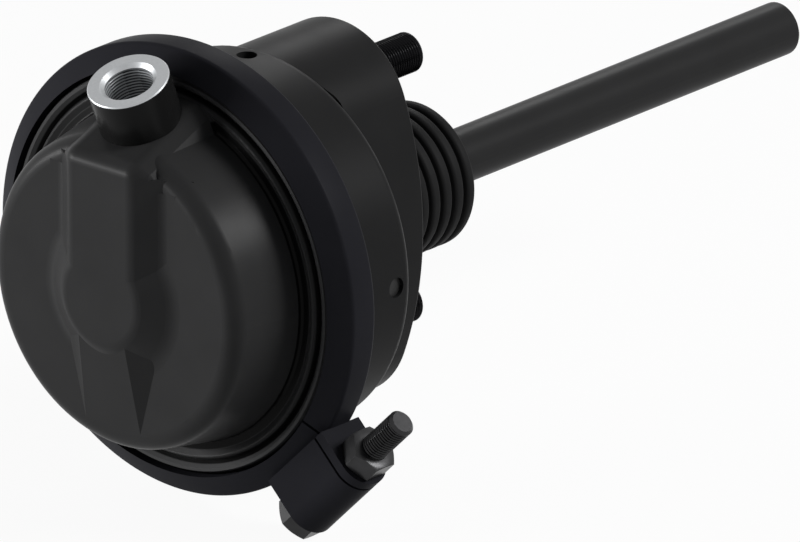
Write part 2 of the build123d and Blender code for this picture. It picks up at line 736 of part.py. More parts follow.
with BuildPart() as spring:
    coil_start_y = plate_back_y + soft_gap + spring_wire_r
    coil_height = spring_seat_y - soft_gap - spring_wire_r - coil_start_y
    coil_flare = math.degrees(math.atan2(spring_big_r - spring_small_r, coil_height))
    with BuildLine() as coil:
        Helix(coil_height / spring_turns, coil_height, spring_small_r, center=(0, coil_start_y, 0),
              direction=(0, 1, 0), cone_angle=coil_flare)
    with BuildSketch(Plane(origin=coil.line @ 0, z_dir=coil.line % 0)):
        Circle(spring_wire_r)
    sweep(path=coil.line)
write(spring.part, "return_spring")
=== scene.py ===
import json
import math

import bmesh
import bpy
from mathutils import Matrix, Vector

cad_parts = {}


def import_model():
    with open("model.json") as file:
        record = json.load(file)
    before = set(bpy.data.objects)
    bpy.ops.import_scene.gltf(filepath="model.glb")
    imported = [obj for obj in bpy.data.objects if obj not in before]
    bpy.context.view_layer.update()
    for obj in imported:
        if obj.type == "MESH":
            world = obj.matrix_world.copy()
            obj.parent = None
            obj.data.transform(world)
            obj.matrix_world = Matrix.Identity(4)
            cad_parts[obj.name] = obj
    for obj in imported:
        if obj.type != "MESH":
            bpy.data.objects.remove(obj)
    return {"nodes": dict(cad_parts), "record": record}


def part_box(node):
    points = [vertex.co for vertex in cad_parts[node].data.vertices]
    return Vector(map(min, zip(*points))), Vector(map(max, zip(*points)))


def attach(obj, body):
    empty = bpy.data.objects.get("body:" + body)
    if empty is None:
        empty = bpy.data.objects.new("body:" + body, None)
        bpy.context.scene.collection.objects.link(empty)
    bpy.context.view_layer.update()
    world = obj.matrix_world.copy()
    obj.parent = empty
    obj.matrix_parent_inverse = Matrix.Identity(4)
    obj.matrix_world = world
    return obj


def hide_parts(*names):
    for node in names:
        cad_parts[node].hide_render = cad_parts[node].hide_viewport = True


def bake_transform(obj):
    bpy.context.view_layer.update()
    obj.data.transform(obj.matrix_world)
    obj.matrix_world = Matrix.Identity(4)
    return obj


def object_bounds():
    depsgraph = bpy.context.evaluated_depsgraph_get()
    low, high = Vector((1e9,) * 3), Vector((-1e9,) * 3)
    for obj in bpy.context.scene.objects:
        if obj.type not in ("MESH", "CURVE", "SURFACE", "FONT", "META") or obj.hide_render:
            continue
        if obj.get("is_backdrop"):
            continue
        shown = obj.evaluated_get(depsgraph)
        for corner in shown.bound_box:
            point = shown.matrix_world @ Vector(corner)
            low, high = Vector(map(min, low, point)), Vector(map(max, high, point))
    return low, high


MM = 0.001
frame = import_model()
nodes = frame["nodes"]
mounts = {mount["name"]: mount for mount in frame["record"]["mounts"]}
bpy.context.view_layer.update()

# Sizes that the frame's boxes and mounts don't give.  A crest runs between two shares of the fold's pitch.
# TURNED_SHARE is the circle that a hexagon's corners are turned down to, as a share of its flats.
BOSS_R = 12.05 * MM
BOSS_DEPTH = 17.5 * MM
BOSS_EDGE = 0.3 * MM
PORT_MOUTH_R = 8.4 * MM
PORT_PITCH = 1.0 * MM
PORT_THREAD_DEPTH = 0.5 * PORT_PITCH
STUD_NECK_R = 6.5 * MM
STUD_HEAD_HEIGHT = 7.0 * MM
STUD_HEAD_EDGE = 0.4 * MM
STUD_PITCH = 1.0 * MM
STUD_THREAD_DEPTH = 0.6 * STUD_PITCH
STUD_TIP = 1.0 * MM
CLAMP_Y = -65.5 * MM
CLAMP_R = 66.9 * MM
CLAMP_LIP_R = 60.2 * MM
CLAMP_BAND_HALF = 4.5 * MM
CLAMP_LIP_HALF = 8.5 * MM
CLAMP_WALL = 2.8 * MM
CLAMP_EDGE_R = 1.5 * MM
SPLIT_NEAR = 13.0 * MM
SPLIT_FAR = 13.8 * MM
LUG_ANGLE = math.radians(-45)
COVER_RIM_FRONT_Y = -74.1 * MM
# Painted shade in the cover's rim grooves and painted highlight on its bead and rim: each stop is a radius
# and a share of the brightest.
COVER_RIM_PAINTED_LIGHT = [(radius * MM, share) for radius, share in (
    (49.2, 0.5), (49.6, 0.04), (52.1, 0.04), (52.5, 0.65), (54.9, 0.65),
    (55.2, 0.04), (56.6, 0.04), (56.9, 1.0), (59.0, 1.0), (59.3, 0.03))]
BOLT_CENTRE_R = 76.5 * MM
BOLT_R = 4.0 * MM
BOLT_PITCH = 1.0 * MM
BOLT_THREAD_DEPTH = 0.6 * BOLT_PITCH
BOLT_TIP = 0.8 * MM
BOLT_FLATS = 13.0 * MM
BOLT_HEAD_START = -17.1 * MM
BOLT_HEAD_END = -11.6 * MM
BOLT_THREAD_START = 17.5 * MM
BOLT_END = 38.4 * MM
BOLT_THREAD_END = BOLT_END - 1.1 * BOLT_TIP
NUT_START = 16.9 * MM
NUT_END = 23.4 * MM
NUT_BORE_R = BOLT_R + 0.05 * MM
TURNED_SHARE = 0.97
CORNER_SLOPE = math.tan(math.radians(30))
FOLDS = 7
FOLD_PITCH = 5.0 * MM
FOLD_CREST = (0.18, 0.82)
FOLD_VALLEY_R = 18.8 * MM
FOLD_VALLEY_ROUND = 0.25 * MM
FOLD_CREST_R = 21.7 * MM
FOLD_CREST_ROUND = 1.3 * MM
BELLOWS_WALL = 1.3 * MM
BELLOWS_RIM = 2.4 * MM
BELLOWS_THROAT_R = 18.9 * MM
BELLOWS_NECK_R = 10.5 * MM
BELLOWS_BORE_R = 8.05 * MM
DIAPHRAGM_WALL = 2.4 * MM
DIAPHRAGM_POLE_R = 0.1 * MM
DIAPHRAGM_BOTTOM_R = 42.7 * MM
DIAPHRAGM_SIDE_R = 46.6 * MM
DIAPHRAGM_MOUTH_R = 56.7 * MM
DIAPHRAGM_RIM_R = 58.2 * MM
DIAPHRAGM_SIDE_Y = -72.9 * MM
DIAPHRAGM_SHELF_Y = -68.1 * MM
DIAPHRAGM_RIM_Y = -67.0 * MM
WIRE_R = 2.0 * MM
COIL_TURNS = 4.5
COIL_SMALL_R = 17.5 * MM
COIL_BIG_R = 34.0 * MM


# ---------------------------------------------------------------- places

def mount_axis(name):
    """Place and direction of a mount."""
    return Vector(mounts[name]["pos_m"]), Vector(mounts[name]["axis"]).normalized()


def axis_frame(origin, along, across):
    """Matrix whose local Z runs along, local X along across, with its origin at origin."""
    z = Vector(along).normalized()
    x = (Vector(across) - z * Vector(across).dot(z)).normalized()
    y = z.cross(x)
    return Matrix((
        (x.x, y.x, z.x, origin[0]),
        (x.y, y.y, z.y, origin[1]),
        (x.z, y.z, z.z, origin[2]),
        (0, 0, 0, 1),
    ))


port_r = mounts["air_port"]["dims"]["r_mm"] * MM
port_length = mounts["air_port"]["dims"]["length_mm"] * MM
port_middle, boss_axis = mount_axis("air_port")
boss_face = port_middle + boss_axis * (port_length / 2 + PORT_MOUTH_R - port_r)
boss_place = axis_frame(boss_face, boss_axis, (1, 0, 0))
bolt_axis = Vector((-math.sin(LUG_ANGLE), 0, math.cos(LUG_ANGLE)))
bolt_radial = Vector((math.cos(LUG_ANGLE), 0, math.sin(LUG_ANGLE)))
bolt_place = axis_frame(Vector((0, CLAMP_Y, 0)) + bolt_radial * BOLT_CENTRE_R, bolt_axis, bolt_radial)
rod_place = axis_frame((0, 0, 0), (0, 1, 0), (1, 0, 0))


# ---------------------------------------------------------------- mesh helpers

def add_mesh(name, bm, sharp_degrees=35):
    """Turn a bmesh into an object of the scene, smooth except where faces meet at a sharp angle."""
    bmesh.ops.recalc_face_normals(bm, faces=bm.faces)
    mesh = bpy.data.meshes.new(name)
    bm.to_mesh(mesh)
    bm.free()
    mesh.shade_smooth()
    mesh.set_sharp_from_angle(angle=math.radians(sharp_degrees))
    piece = bpy.data.objects.new(name, mesh)
    bpy.context.scene.collection.objects.link(piece)
    return piece


def turn(count):
    """Angles of a full turn in even steps."""
    return [2 * math.pi * i / count for i in range(count)]


def rounded(corners, closed=True, samples=6):
    """Profile through (radius, height, fillet) corners, with each fillet drawn as an arc."""
    points = []
    for i, (x, y, fillet) in enumerate(corners):
        here = Vector((x, y))
        if not fillet or (not closed and i in (0, len(corners) - 1)):
            points.append((x, y))
            continue
        before = (Vector(corners[i - 1][:2]) - here).normalized()
        after = (Vector(corners[(i + 1) % len(corners)][:2]) - here).normalized()
        half = before.angle(after) / 2
        middle = here + (before + after).normalized() * (fillet / math.sin(half))
        start = here + before * (fillet / math.tan(half)) - middle
        end = here + after * (fillet / math.tan(half)) - middle
        first = math.atan2(start.y, start.x)
        sweep = (math.atan2(end.y, end.x) - first + math.pi) % (2 * math.pi) - math.pi
        for k in range(samples + 1):
            angle = first + sweep * k / samples
            points.append((middle.x + fillet * math.cos(angle), middle.y + fillet * math.sin(angle)))
    return points


def ring_at(bm, place, radius, height, steps):
    """One ring of vertices about the local Z of place."""
    return [bm.verts.new(place @ Vector((radius * math.cos(a), radius * math.sin(a), height)))
            for a in turn(steps)]


def bridge(bm, low, high, material=0, closed=True):
    """Join two rings of the same count; returns the new faces."""
    faces = []
    for i in range(len(low) if closed else len(low) - 1):
        j = (i + 1) % len(low)
        faces.append(bm.faces.new((low[i], low[j], high[j], high[i])))
        faces[-1].material_index = material
    return faces


def lathe(bm, profile, place, steps=128, closed=True):
    """Revolve (radius, height) points about the local Z of place and add the faces to bm."""
    rings = [ring_at(bm, place, radius, height, steps) for radius, height in profile]
    for low, high in zip(rings, rings[1:]):
        bridge(bm, low, high)
    if closed:
        bridge(bm, rings[-1], rings[0])


def cap(bm, ring, place, height, material=0):
    """Close a ring of vertices with a fan about the local Z of place."""
    centre = bm.verts.new(place @ Vector((0, 0, height)))
    for i, vert in enumerate(ring):
        bm.faces.new((vert, ring[(i + 1) % len(ring)], centre)).material_index = material


def thread_wave(phase):
    """Depth share of a 60 degree thread with flat crests and roots, for a phase from 0 to 1."""
    crest, flank = 0.12, 0.70
    return min(1.0, max(0.0, (1 - abs(2 * phase - 1) - crest) / flank))


def thread(bm, place, start, end, radius, pitch, depth, steps=72, per_pitch=8, material=0,
           root=None):
    """Helical thread surface about the local Z of place, cut depth inwards, or outwards if negative.
    The thread fades out over one pitch at each end.  Its roots can have a darker material of their own,
    painted shade in the roots.
    Returns the first and last rings."""
    rows = max(2, round((end - start) / pitch * per_pitch))
    rings = []
    for k in range(rows + 1):
        height = start + (end - start) * k / rows
        fade = min(1.0, (height - start) / pitch, (end - height) / pitch)
        ring = []
        for i, angle in enumerate(turn(steps)):
            r = radius - depth * fade * thread_wave((height / pitch - i / steps) % 1.0)
            point = Vector((r * math.cos(angle), r * math.sin(angle), height))
            ring.append(bm.verts.new(place @ point))
        rings.append(ring)
    for k, (low, high) in enumerate(zip(rings, rings[1:])):
        middle = start + (end - start) * (k + 0.5) / rows
        for i, face in enumerate(bridge(bm, low, high, material)):
            if root is not None and thread_wave((middle / pitch - (i + 0.5) / steps) % 1.0) > 0.5:
                face.material_index = root
    return rings[0], rings[-1]


def square_prism(bm, place, half, low, high, edge):
    """Square block about the local Z of place, with its edges broken by edge."""
    layers = []
    for size, height in ((half - edge, low), (half, low + edge),
                         (half, high - edge), (half - edge, high)):
        layers.append([bm.verts.new(place @ Vector((x * size, y * size, height)))
                       for x, y in ((-1, -1), (1, -1), (1, 1), (-1, 1))])
    for a, b in zip(layers, layers[1:]):
        bridge(bm, a, b)
    bm.faces.new(layers[0][::-1])
    bm.faces.new(layers[-1])


def hexagon_prism(bm, place, flats, low, high, washer_at_low, bore=0.0):
    """Hexagon head or nut about the local Z of place: its corners are turned down to a circle, at both
    ends or only at the end away from the washer face."""
    steps = 72
    circle = flats / 2 * TURNED_SHARE
    outline = []
    for angle in turn(steps):
        off_flat = (angle + math.pi / 6) % (math.pi / 3) - math.pi / 6
        outline.append((angle, flats / 2 / math.cos(off_flat)))
    sides, holes = [], []
    for end, direction, turned in ((low, 1, not washer_at_low), (high, -1, True)):
        drop = [direction * CORNER_SLOPE * (r - circle) if turned else 0.0 for _, r in outline]
        sides.append([bm.verts.new(place @ Vector((r * math.cos(a), r * math.sin(a), end + d)))
                      for (a, r), d in zip(outline, drop)])
        edge = sides[-1]
        if turned:
            edge = ring_at(bm, place, circle, end, steps)
            bridge(bm, sides[-1], edge)
        if bore:
            holes.append(ring_at(bm, place, bore, end, steps))
            bridge(bm, edge, holes[-1])
        else:
            cap(bm, edge, place, end)
    bridge(bm, *sides)
    if bore:
        bridge(bm, *holes)


# ---------------------------------------------------------------- materials

def new_material(name):
    """Material with a Principled shader; returns the material, its tree and the shader."""
    material = bpy.data.materials.new(name)
    material.use_nodes = True
    tree = material.node_tree
    return material, tree, tree.nodes["Principled BSDF"]


def object_point(tree):
    """Point in the object's own coordinates, in metres."""
    return tree.nodes.new("ShaderNodeTexCoord").outputs["Object"]


def drop_axis(tree, point, kept):
    """The point without one of its coordinates, and each coordinate by name."""
    split = tree.nodes.new("ShaderNodeSeparateXYZ")
    tree.links.new(point, split.inputs["Vector"])
    flat = tree.nodes.new("ShaderNodeCombineXYZ")
    for axis in kept:
        tree.links.new(split.outputs[axis], flat.inputs[axis])
    return flat.outputs["Vector"], split.outputs


def arithmetic(tree, operation, value, constant):
    """A value combined with a constant."""
    node = tree.nodes.new("ShaderNodeMath")
    node.operation = operation
    node.inputs[1].default_value = constant
    tree.links.new(value, node.inputs[0])
    return node.outputs["Value"]


def noise(tree, point, scale, detail=2.0):
    """Fractal noise with that many cells per metre."""
    node = tree.nodes.new("ShaderNodeTexNoise")
    node.inputs["Scale"].default_value = scale
    node.inputs["Detail"].default_value = detail
    tree.links.new(point, node.inputs["Vector"])
    return node.outputs["Fac"]


def spread(tree, value, low, high):
    """Map a value from 0..1 to low..high."""
    node = tree.nodes.new("ShaderNodeMapRange")
    node.inputs["To Min"].default_value = low
    node.inputs["To Max"].default_value = high
    tree.links.new(value, node.inputs["Value"])
    return node.outputs["Result"]


def blend_colours(tree, value, dark, light):
    """Colour between dark and light by a value."""
    node = tree.nodes.new("ShaderNodeMix")
    node.data_type = "RGBA"
    node.inputs["A"].default_value = (*dark, 1)
    node.inputs["B"].default_value = (*light, 1)
    tree.links.new(value, node.inputs["Factor"])
    return node.outputs["Result"]


def bump(tree, shader, height, distance):
    """Surface relief of that height in metres."""
    node = tree.nodes.new("ShaderNodeBump")
    node.inputs["Distance"].default_value = distance
    tree.links.new(height, node.inputs["Height"])
    tree.links.new(node.outputs["Normal"], shader.inputs["Normal"])


def mottled(name, colour, spot_scale, contrast, roughness, specular, grain_scale, grain, metallic=0.0):
    """Base of the dark finishes: a mottled colour, an uneven gloss and a fine relief."""
    material, tree, shader = new_material(name)
    point = object_point(tree)
    dark = tuple(c * (1 - contrast) for c in colour)
    light = tuple(c * (1 + contrast) for c in colour)
    spots = noise(tree, point, spot_scale, 4.0)
    sheen = noise(tree, point, 2.2 * spot_scale, 3.0)
    tree.links.new(blend_colours(tree, spots, dark, light), shader.inputs["Base Color"])
    tree.links.new(spread(tree, sheen, roughness - 0.05, roughness + 0.05), shader.inputs["Roughness"])
    bump(tree, shader, noise(tree, point, grain_scale), grain)
    shader.inputs["Specular IOR Level"].default_value = specular
    shader.inputs["Metallic"].default_value = metallic
    return material


def paint(name, colour, roughness, specular):
    """Sprayed black paint with a faint orange peel."""
    return mottled(name, colour, 55, 0.15, roughness, specular, 900, 0.000009)


def painted_light_rings(material, brightest, front, stops):
    """Rings about the Y axis, behind the Y of front, with painted shade darkening the grooves and a
    painted highlight lightening the bead and the rims.  Each stop is a radius and a share of the
    brightest, which multiplies the colour."""
    tree = material.node_tree
    base = tree.nodes["Principled BSDF"].inputs["Base Color"]
    flat, coordinates = drop_axis(tree, object_point(tree), "XZ")
    radius = tree.nodes.new("ShaderNodeVectorMath")
    radius.operation = "LENGTH"
    tree.links.new(flat, radius.inputs[0])
    inner, outer = stops[0][0], stops[-1][0]
    reach = tree.nodes.new("ShaderNodeMapRange")
    reach.inputs["From Min"].default_value = inner
    reach.inputs["From Max"].default_value = outer
    tree.links.new(radius.outputs["Value"], reach.inputs["Value"])
    ramp = tree.nodes.new("ShaderNodeValToRGB")
    elements = ramp.color_ramp.elements
    for element, (_, share) in zip(elements, (stops[0], stops[-1])):
        element.color = (share, share, share, 1)
    for size, share in stops[1:-1]:
        elements.new((size - inner) / (outer - inner)).color = (share, share, share, 1)
    tree.links.new(reach.outputs["Result"], ramp.inputs["Fac"])
    # Painted shade in the grooves and painted highlight on the bead and rim, only behind front.
    rim_painted_tone = tree.nodes.new("ShaderNodeMix")
    rim_painted_tone.inputs["A"].default_value = 1.0
    tree.links.new(arithmetic(tree, "GREATER_THAN", coordinates["Y"], front), rim_painted_tone.inputs["Factor"])
    tree.links.new(arithmetic(tree, "MULTIPLY", ramp.outputs["Color"], brightest), rim_painted_tone.inputs["B"])
    toned = tree.nodes.new("ShaderNodeVectorMath")
    toned.operation = "SCALE"
    tree.links.new(base.links[0].from_socket, toned.inputs[0])
    tree.links.new(rim_painted_tone.outputs["Result"], toned.inputs["Scale"])
    tree.links.new(toned.outputs["Vector"], base)


def rubber(name, colour, roughness):
    """Moulded rubber with a dry bloom and a fine grain."""
    return mottled(name, colour, 90, 0.25, roughness, 0.04, 2600, 0.00002)


def dark_steel(name, colour, roughness, metallic=0.3):
    """Black oxide steel: dark and part metallic, with an uneven sheen."""
    return mottled(name, colour, 300, 0.25, roughness, 0.06, 1800, 0.000008, metallic=metallic)


def plastic(name, colour, roughness):
    """Moulded plastic with a fine matt texture."""
    return mottled(name, colour, 200, 0.1, roughness, 0.3, 3000, 0.000008)


def bare_steel(name, place):
    """Faced steel: a light metal with fine turning rings about the local Z of place."""
    material, tree, shader = new_material(name)
    point = object_point(tree)
    moved = tree.nodes.new("ShaderNodeMapping")
    moved.vector_type = "TEXTURE"
    moved.inputs["Location"].default_value = place.translation
    moved.inputs["Rotation"].default_value = place.to_euler()
    tree.links.new(point, moved.inputs["Vector"])
    flat, _ = drop_axis(tree, moved.outputs["Vector"], "XY")
    rings = tree.nodes.new("ShaderNodeTexWave")
    rings.wave_type = "RINGS"
    rings.rings_direction = "SPHERICAL"
    rings.inputs["Scale"].default_value = 900
    rings.inputs["Distortion"].default_value = 0.6
    tree.links.new(flat, rings.inputs["Vector"])
    grain = noise(tree, point, 1500, 3.0)
    tree.links.new(blend_colours(tree, grain, (0.34, 0.35, 0.36), (0.42, 0.43, 0.44)),
                   shader.inputs["Base Color"])
    tree.links.new(spread(tree, rings.outputs["Fac"], 0.34, 0.46), shader.inputs["Roughness"])
    bump(tree, shader, rings.outputs["Fac"], 0.000006)
    shader.inputs["Metallic"].default_value = 0.85
    return material


cover_paint = paint("cover_paint", (0.0215, 0.0215, 0.0218), 0.34, 0.04)
# Painted shade and painted highlight in rings on the cover's rim, behind its front.
painted_light_rings(cover_paint, 2.0, COVER_RIM_FRONT_Y, COVER_RIM_PAINTED_LIGHT)
housing_paint = paint("housing_paint", (0.0110, 0.0110, 0.0112), 0.36, 0.03)
boss_paint = paint("boss_paint", (0.007, 0.007, 0.007), 0.25, 0.06)
clamp_paint = paint("clamp_paint", (0.0130, 0.0130, 0.0155), 0.36, 0.01)
bracket_paint = paint("bracket_paint", (0.0105, 0.0105, 0.0107), 0.38, 0.035)
rod_paint = paint("rod_paint", (0.0160, 0.0160, 0.0162), 0.36, 0.04)
fastener = dark_steel("fastener_oxide", (0.034, 0.034, 0.035), 0.32, 0.7)
# Painted shade: a near black for the bolt's thread roots.
bolt_root_shade = dark_steel("bolt_root_shade", (0.004, 0.004, 0.004), 0.5)
stud_metal = dark_steel("stud_oxide", (0.010, 0.010, 0.011), 0.38)
port_thread = dark_steel("port_thread", (0.26, 0.27, 0.28), 0.34)
# Painted shade: a darker tone for the port thread's roots.
port_root_shade = dark_steel("port_root_shade", (0.05, 0.052, 0.055), 0.45)
spring_metal = dark_steel("spring_oxide", (0.03, 0.03, 0.031), 0.35)
plug_plastic = plastic("plug_plastic", (0.006, 0.006, 0.006), 0.5)
guide_plastic = plastic("guide_plastic", (0.64, 0.62, 0.55), 0.40)
bellows_rubber = rubber("bellows_rubber", (0.0100, 0.0100, 0.0102), 0.55)
diaphragm_rubber = rubber("diaphragm_rubber", (0.010, 0.010, 0.010), 0.55)
port_steel = bare_steel("port_steel", boss_place)


# ---------------------------------------------------------------- pieces

def dress(material, *names):
    """Give CAD nodes their material."""
    for name in names:
        slots = nodes[name].data.materials
        slots.clear()
        slots.append(material)


def stand_for(piece, node, slot_name, *materials):
    """Give a modelled piece its materials and let it stand for a CAD node."""
    for material in materials:
        piece.data.materials.append(material)
    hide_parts(node)


def inlet_boss():
    """Boss with a bare faced mouth and a real internal thread."""
    bm = bmesh.new()
    steps = 96
    base = ring_at(bm, boss_place, BOSS_R, -BOSS_DEPTH, steps)
    shoulder = ring_at(bm, boss_place, BOSS_R, -BOSS_EDGE, steps)
    rim = ring_at(bm, boss_place, BOSS_R - BOSS_EDGE, 0, steps)
    mouth = ring_at(bm, boss_place, PORT_MOUTH_R, 0, steps)
    bridge(bm, base, shoulder)
    bridge(bm, shoulder, rim, 1)
    bridge(bm, rim, mouth, 1)
    # The thread roots take the darker port root material, painted shade.
    first, last = thread(bm, boss_place, -BOSS_DEPTH, port_r - PORT_MOUTH_R, port_r, PORT_PITCH,
                         -PORT_THREAD_DEPTH, steps=steps, per_pitch=10, material=2, root=3)
    bridge(bm, mouth, last, 1)
    bridge(bm, first, base)
    piece = add_mesh("inlet_boss_threaded", bm)
    stand_for(piece, "inlet_boss", "boss_paint", boss_paint, port_steel, port_thread, port_root_shade)
    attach(piece, "chamber")


def studs():
    """Studs with a square head, a pressed neck and a rolled thread."""
    stud_r = mounts["mounting_studs"]["dims"]["stud_r_mm"] * MM
    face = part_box("mounting_bracket")[1].y
    steps = 72
    for node in ("stud_upper", "stud_lower"):
        low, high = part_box(node)
        length = high.y - low.y
        place = axis_frame((0, low.y, (low.z + high.z) / 2), (0, 1, 0), (1, 0, 0))
        bm = bmesh.new()
        square_prism(bm, place, (high.z - low.z) / 2, 0, STUD_HEAD_HEIGHT, STUD_HEAD_EDGE)
        neck = ring_at(bm, place, STUD_NECK_R, STUD_HEAD_HEIGHT, steps)
        collar = ring_at(bm, place, STUD_NECK_R, face - low.y, steps)
        first, last = thread(bm, place, face - low.y, length - STUD_TIP, stud_r, STUD_PITCH,
                             STUD_THREAD_DEPTH, steps=steps)
        end = ring_at(bm, place, stud_r - STUD_TIP, length, steps)
        bridge(bm, neck, collar)
        bridge(bm, collar, first)
        bridge(bm, last, end)
        cap(bm, end, place, length)
        piece = add_mesh(node + "_threaded", bm)
        stand_for(piece, node, "stud_steel", stud_metal)
        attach(piece, "chamber")


def clamp_bolt():
    """Bolt with a hexagon head, a plain shank and a fine thread."""
    steps = 64
    bm = bmesh.new()
    hexagon_prism(bm, bolt_place @ Matrix.Rotation(math.pi, 4, "X"), BOLT_FLATS, -BOLT_HEAD_END,
                  -BOLT_HEAD_START, True)
    neck = ring_at(bm, bolt_place, BOLT_R, BOLT_HEAD_END, steps)
    # The thread roots take the near black bolt root material, painted shade.
    first, last = thread(bm, bolt_place, BOLT_THREAD_START, BOLT_THREAD_END, BOLT_R, BOLT_PITCH,
                         BOLT_THREAD_DEPTH, steps=steps, root=1)
    shoulder = ring_at(bm, bolt_place, BOLT_R, BOLT_END - BOLT_TIP, steps)
    point = ring_at(bm, bolt_place, BOLT_R - BOLT_TIP, BOLT_END, steps)
    bridge(bm, neck, first)
    bridge(bm, last, shoulder)
    bridge(bm, shoulder, point)
    cap(bm, point, bolt_place, BOLT_END)
    piece = add_mesh("clamp_bolt_threaded", bm)
    stand_for(piece, "clamp_bolt", "fastener_steel", fastener, bolt_root_shade)
    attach(piece, "chamber")


def clamp_nut():
    """Hexagon nut with turned corners."""
    bm = bmesh.new()
    hexagon_prism(bm, bolt_place, BOLT_FLATS, NUT_START, NUT_END, False, bore=NUT_BORE_R)
    piece = add_mesh("clamp_nut_turned", bm)
    stand_for(piece, "clamp_nut", "fastener_steel", fastener)
    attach(piece, "chamber")


def clamp_ring():
    """Rolled V channel that closes at the split beside the lug."""
    slope = (CLAMP_LIP_HALF - CLAMP_BAND_HALF) / (CLAMP_R - CLAMP_LIP_R)
    web = CLAMP_WALL * math.sqrt(1 + slope * slope)
    channel_r = CLAMP_R - CLAMP_WALL
    channel_lip = CLAMP_LIP_HALF - web
    channel_band = channel_lip - slope * (channel_r - CLAMP_LIP_R)
    profile = rounded([
        (CLAMP_LIP_R, -CLAMP_LIP_HALF, 0), (CLAMP_R, -CLAMP_BAND_HALF, CLAMP_EDGE_R),
        (CLAMP_R, CLAMP_BAND_HALF, CLAMP_EDGE_R), (CLAMP_LIP_R, CLAMP_LIP_HALF, 0),
        (CLAMP_LIP_R, channel_lip, 0), (channel_r, channel_band, 0), (channel_r, -channel_band, 0),
        (CLAMP_LIP_R, -channel_lip, 0),
    ])
    steps = 240
    bm = bmesh.new()
    rings = []
    for radius, height in profile:
        start = LUG_ANGLE + math.asin(SPLIT_FAR / radius)
        end = LUG_ANGLE + math.asin(SPLIT_NEAR / radius) + 2 * math.pi
        angles = [start + (end - start) * i / steps for i in range(steps + 1)]
        rings.append([bm.verts.new((radius * math.cos(a), CLAMP_Y + height, radius * math.sin(a)))
                      for a in angles])
    for low, high in zip(rings, rings[1:] + rings[:1]):
        bridge(bm, low, high, closed=False)
    bm.faces.new([ring[0] for ring in rings])
    bm.faces.new([ring[-1] for ring in reversed(rings)])
    piece = add_mesh("clamp_ring_rolled", bm, 30)
    stand_for(piece, "clamp_ring", "clamp_paint", clamp_paint)
    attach(piece, "chamber")


def bellows():
    """Rubber bellows with rounded folds, from the clamped rim to the lip on the rod."""
    low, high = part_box("bellows")
    folds = []
    for fold in range(FOLDS):
        for share in FOLD_CREST:
            folds.append((FOLD_CREST_R, (fold + share) * FOLD_PITCH, FOLD_CREST_ROUND))
        folds.append((FOLD_VALLEY_R, (fold + 1) * FOLD_PITCH, FOLD_VALLEY_ROUND))
    last_y = folds.pop()[1]
    outside = [
        (high.x, low.y, 0.3 * MM), (high.x, low.y + BELLOWS_RIM, 0.3 * MM),
        (BELLOWS_THROAT_R, low.y + BELLOWS_RIM, 0), (BELLOWS_THROAT_R, 0.0, FOLD_VALLEY_ROUND),
    ] + folds
    neck = [
        (BELLOWS_NECK_R, last_y, 0.5 * MM), (BELLOWS_NECK_R, high.y, 0.4 * MM),
        (BELLOWS_BORE_R, high.y, 0), (BELLOWS_BORE_R, last_y - BELLOWS_WALL, 0),
        (BELLOWS_NECK_R, last_y - BELLOWS_WALL, 0),
    ]
    inside = [(r - BELLOWS_WALL, y, FOLD_VALLEY_ROUND) for r, y, _ in reversed(outside[3:])]
    inside += [(BELLOWS_THROAT_R - BELLOWS_WALL, low.y, 0)]
    bm = bmesh.new()
    lathe(bm, rounded(outside + neck + inside), rod_place, steps=160)
    piece = add_mesh("bellows_folds", bm, 60)
    stand_for(piece, "bellows", "bellows_rubber", bellows_rubber)
    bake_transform(piece)


def diaphragm():
    """Rubber cup with a clamped rim, built in one fixed shape."""
    low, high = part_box("diaphragm")
    wall = DIAPHRAGM_WALL
    side_r, shelf_y = DIAPHRAGM_SIDE_R, DIAPHRAGM_SHELF_Y
    outside = [
        (DIAPHRAGM_POLE_R, low.y, 0), (DIAPHRAGM_BOTTOM_R, low.y, 5.4 * MM),
        (side_r, DIAPHRAGM_SIDE_Y, 0), (side_r, shelf_y, 0), (DIAPHRAGM_MOUTH_R, shelf_y, 0),
        (DIAPHRAGM_RIM_R - 0.1 * MM, DIAPHRAGM_RIM_Y, 0), (high.x, DIAPHRAGM_RIM_Y, 0),
        (high.x, high.y, 0), (DIAPHRAGM_RIM_R, high.y, 0),
        (DIAPHRAGM_RIM_R - 0.3 * MM, shelf_y + wall, 0),
    ]
    inside = [
        (side_r - wall, shelf_y + wall, 4.0 * MM), (side_r - wall, DIAPHRAGM_SIDE_Y, 0),
        (DIAPHRAGM_BOTTOM_R - wall, low.y + wall, 3.0 * MM), (DIAPHRAGM_POLE_R, low.y + wall, 0),
    ]
    bm = bmesh.new()
    lathe(bm, rounded(outside + inside, closed=False), rod_place, closed=False)
    piece = add_mesh("diaphragm_cup", bm, 50)
    stand_for(piece, "diaphragm", "diaphragm_rubber", diaphragm_rubber)
    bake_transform(piece)


def return_spring():
    """Conical coil, built in one fixed shape."""
    low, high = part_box("return_spring")
    start, end = low.y + WIRE_R, high.y - WIRE_R
    rows, sides = 288, 14
    bm = bmesh.new()
    rings = []
    for k in range(rows + 1):
        share = k / rows
        angle = 2 * math.pi * COIL_TURNS * share
        out = Vector((math.cos(angle), 0, -math.sin(angle)))
        centre = out * (COIL_SMALL_R + (COIL_BIG_R - COIL_SMALL_R) * share)
        centre.y = start + (end - start) * share
        ring = []
        for a in turn(sides):
            around = out * (WIRE_R * math.cos(a)) + Vector((0, WIRE_R * math.sin(a), 0))
            ring.append(bm.verts.new(centre + around))
        rings.append(ring)
    for before, after in zip(rings, rings[1:]):
        bridge(bm, before, after)
    bm.faces.new(rings[0][::-1])
    bm.faces.new(rings[-1])
    piece = add_mesh("return_spring_coil", bm, 60)
    stand_for(piece, "return_spring", "spring_steel", spring_metal)
    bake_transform(piece)


